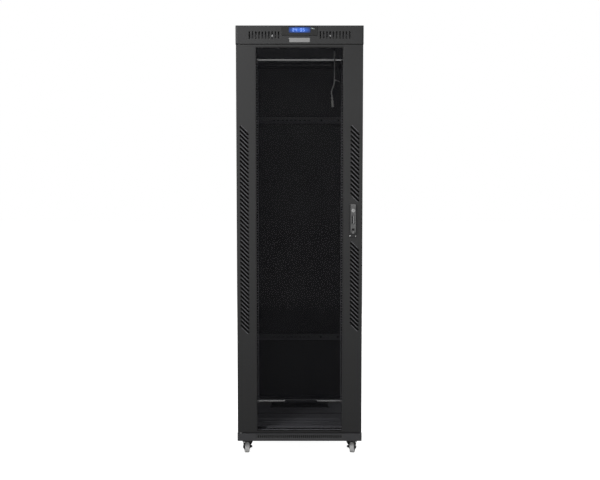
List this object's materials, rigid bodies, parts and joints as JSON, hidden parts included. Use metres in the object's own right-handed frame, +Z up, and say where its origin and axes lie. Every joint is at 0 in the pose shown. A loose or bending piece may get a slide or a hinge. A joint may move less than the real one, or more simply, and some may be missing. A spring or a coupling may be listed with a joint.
{
  "type": "network server rack cabinet",
  "caption": "Tall charcoal steel equipment cabinet with a tinted glass front door, slotted door strips, swing handle, header display, mounting rails inside, casters and levelling feet.",
  "frame": {"origin": "on the floor under the middle of the cabinet", "axes": "+X right seen from the front, front door faces -Y, +Z up"},
  "size_m": [0.603, 0.825, 2.05],
  "materials": {
    "panel_paint": "fine textured charcoal powder coat",
    "door_paint": "fine textured charcoal powder coat",
    "frame_paint": "black powder coat",
    "rail_paint": "satin black powder coat",
    "zinc": "bright zinc plate",
    "tempered_glass": "grey tinted toughened glass",
    "seal_rubber": "black extruded rubber",
    "black_plastic": "fine grained black moulding",
    "fan_wire": "black coated wire",
    "bezel_plastic": "satin dark moulding",
    "display": "blue backlit display behind a clear window",
    "badge_metal": "satin anodised",
    "handle_metal": "satin grey lacquered zinc casting",
    "chrome": "polished",
    "wheel_rubber": "moulded light grey polyurethane",
    "lead_sheath": "flexible grey sheath",
    "white_plastic": "natural nylon"
  },
  "bodies": {
    "cabinet": {"base_frame": "panel_paint", "base_grille": "black_plastic", "floor_plates": "frame_paint", "front_frame": "frame_paint", "rear_frame": "frame_paint", "depth_beams": "frame_paint", "cross_braces": "frame_paint", "front_rail_left": "rail_paint", "front_rail_right": "rail_paint", "rear_rail_left": "rail_paint", "rear_rail_right": "rail_paint", "cage_nuts": "zinc", "roof_panel": "panel_paint", "ceiling_plate": "frame_paint", "fan_housings": "black_plastic", "fan_guards": "fan_wire", "front_header": "panel_paint", "rear_header": "panel_paint", "lcd_bezel": "bezel_plastic", "lcd_screen": "display", "controller_box": "black_plastic", "badge": "badge_metal", "frame_screws": "zinc", "hinge_pins": "zinc", "caster_plates": "zinc", "lead_gland": "black_plastic", "power_lead": "lead_sheath", "lead_plug": "white_plastic", "cable_tie": "white_plastic"},
    "front_door": {"door_frame": "door_paint", "door_glass": "tempered_glass", "glass_seal": "seal_rubber", "handle_plate": "black_plastic"},
    "door_handle": {"handle_spindle": "zinc", "lock_cam": "zinc", "lever_pin": "zinc"},
    "handle_lever_body": {"handle_lever": "handle_metal"},
    "handle_lock": {"lock_cylinder": "chrome"},
    "rear_door_body": {"rear_door": "panel_paint"},
    "rear_lock_body": {"rear_lock": "chrome"},
    "left_panel": {"left_side_panel": "panel_paint"},
    "left_latch": {"left_panel_latch": "chrome"},
    "right_panel": {"right_side_panel": "panel_paint"},
    "right_latch": {"right_panel_latch": "chrome"},
    "left_fan": {"fan_rotor_left": "black_plastic"},
    "right_fan": {"fan_rotor_right": "black_plastic"},
    "fork_front_left": {"caster_fork_front_left": "zinc"},
    "wheel_front_left": {"caster_wheel_front_left": "wheel_rubber"},
    "foot_front_left": {"levelling_foot_front_left": "frame_paint"},
    "pedal_front_left": {"brake_pedal_front_left": "black_plastic"},
    "fork_front_right": {"caster_fork_front_right": "zinc"},
    "wheel_front_right": {"caster_wheel_front_right": "wheel_rubber"},
    "foot_front_right": {"levelling_foot_front_right": "frame_paint"},
    "pedal_front_right": {"brake_pedal_front_right": "black_plastic"},
    "fork_rear_left": {"caster_fork_rear_left": "zinc"},
    "wheel_rear_left": {"caster_wheel_rear_left": "wheel_rubber"},
    "foot_rear_left": {"levelling_foot_rear_left": "frame_paint"},
    "fork_rear_right": {"caster_fork_rear_right": "zinc"},
    "wheel_rear_right": {"caster_wheel_rear_right": "wheel_rubber"},
    "foot_rear_right": {"levelling_foot_rear_right": "frame_paint"}
  },
  "joints": [
    {"name": "front_door_hinge", "type": "hinge", "parent": "cabinet", "child": "front_door", "pos_m": [-0.284, -0.388, 1.039], "axis": [0, 0, -1], "range_deg": [0, 130]},
    {"name": "handle_turn", "type": "hinge", "parent": "front_door", "child": "door_handle", "pos_m": [0.253, -0.39, 1.086], "axis": [0, -1, 0], "range_deg": [0, 90]},
    {"name": "lever_swing", "type": "hinge", "parent": "door_handle", "child": "handle_lever_body", "pos_m": [0.253, -0.412, 1.086], "axis": [1, 0, 0], "range_deg": [0, 75]},
    {"name": "lock_turn", "type": "hinge", "parent": "handle_lever_body", "child": "handle_lock", "pos_m": [0.253, -0.413, 1.188], "axis": [0, -1, 0], "range_deg": [0, 90]},
    {"name": "rear_door_hinge", "type": "hinge", "parent": "cabinet", "child": "rear_door_body", "pos_m": [0.284, 0.388, 1.039], "axis": [0, 0, -1], "range_deg": [0, 130]},
    {"name": "rear_lock_turn", "type": "hinge", "parent": "rear_door_body", "child": "rear_lock_body", "pos_m": [-0.253, 0.38, 1.086], "axis": [0, 1, 0], "range_deg": [0, 90]},
    {"name": "left_panel_slide", "type": "slide", "parent": "cabinet", "child": "left_panel", "axis": [-1, 0, 0], "range_m": [0, 0.15]},
    {"name": "left_latch_turn", "type": "hinge", "parent": "left_panel", "child": "left_latch", "pos_m": [-0.29, 0, 1.992], "axis": [-1, 0, 0], "range_deg": [0, 90]},
    {"name": "right_panel_slide", "type": "slide", "parent": "cabinet", "child": "right_panel", "axis": [1, 0, 0], "range_m": [0, 0.15]},
    {"name": "right_latch_turn", "type": "hinge", "parent": "right_panel", "child": "right_latch", "pos_m": [0.29, 0, 1.992], "axis": [-1, 0, 0], "range_deg": [0, 90]},
    {"name": "left_fan_spin", "type": "hinge", "parent": "cabinet", "child": "left_fan", "pos_m": [-0.08, -0.23, 2], "axis": [0, 0, 1], "continuous": true},
    {"name": "right_fan_spin", "type": "hinge", "parent": "cabinet", "child": "right_fan", "pos_m": [0.08, -0.23, 2], "axis": [0, 0, 1], "continuous": true},
    {"name": "swivel_front_left", "type": "hinge", "parent": "cabinet", "child": "fork_front_left", "pos_m": [-0.255, -0.345, 0.065], "axis": [0, 0, 1], "continuous": true},
    {"name": "roll_front_left", "type": "hinge", "parent": "fork_front_left", "child": "wheel_front_left", "pos_m": [-0.25882, -0.32333, 0.028], "axis": [-0.9848, -0.1736, 0], "continuous": true},
    {"name": "screw_front_left", "type": "slide", "parent": "cabinet", "child": "foot_front_left", "axis": [0, 0, -1], "range_m": [-0.004, 0.02]},
    {"name": "brake_front_left", "type": "hinge", "parent": "fork_front_left", "child": "pedal_front_left", "pos_m": [-0.26299, -0.2997, 0.056], "axis": [-0.9848, -0.1736, 0], "range_deg": [0, 12]},
    {"name": "swivel_front_right", "type": "hinge", "parent": "cabinet", "child": "fork_front_right", "pos_m": [0.255, -0.345, 0.065], "axis": [0, 0, 1], "continuous": true},
    {"name": "roll_front_right", "type": "hinge", "parent": "fork_front_right", "child": "wheel_front_right", "pos_m": [0.25957, -0.32348, 0.028], "axis": [-0.9781, 0.2079, 0], "continuous": true},
    {"name": "screw_front_right", "type": "slide", "parent": "cabinet", "child": "foot_front_right", "axis": [0, 0, -1], "range_m": [-0.004, 0.02]},
    {"name": "brake_front_right", "type": "hinge", "parent": "fork_front_right", "child": "pedal_front_right", "pos_m": [0.26456, -0.30001, 0.056], "axis": [-0.9781, 0.2079, 0], "range_deg": [0, 12]},
    {"name": "swivel_rear_left", "type": "hinge", "parent": "cabinet", "child": "fork_rear_left", "pos_m": [-0.255, 0.345, 0.065], "axis": [0, 0, 1], "continuous": true},
    {"name": "roll_rear_left", "type": "hinge", "parent": "fork_rear_left", "child": "wheel_rear_left", "pos_m": [-0.2573, 0.32312, 0.028], "axis": [0.9945, -0.1045, 0], "continuous": true},
    {"name": "screw_rear_left", "type": "slide", "parent": "cabinet", "child": "foot_rear_left", "axis": [0, 0, -1], "range_m": [-0.004, 0.02]},
    {"name": "swivel_rear_right", "type": "hinge", "parent": "cabinet", "child": "fork_rear_right", "pos_m": [0.255, 0.345, 0.065], "axis": [0, 0, 1], "continuous": true},
    {"name": "roll_rear_right", "type": "hinge", "parent": "fork_rear_right", "child": "wheel_rear_right", "pos_m": [0.25806, 0.32321, 0.028], "axis": [0.9903, 0.1392, 0], "continuous": true},
    {"name": "screw_rear_right", "type": "slide", "parent": "cabinet", "child": "foot_rear_right", "axis": [0, 0, -1], "range_m": [-0.004, 0.02]}
  ]
}
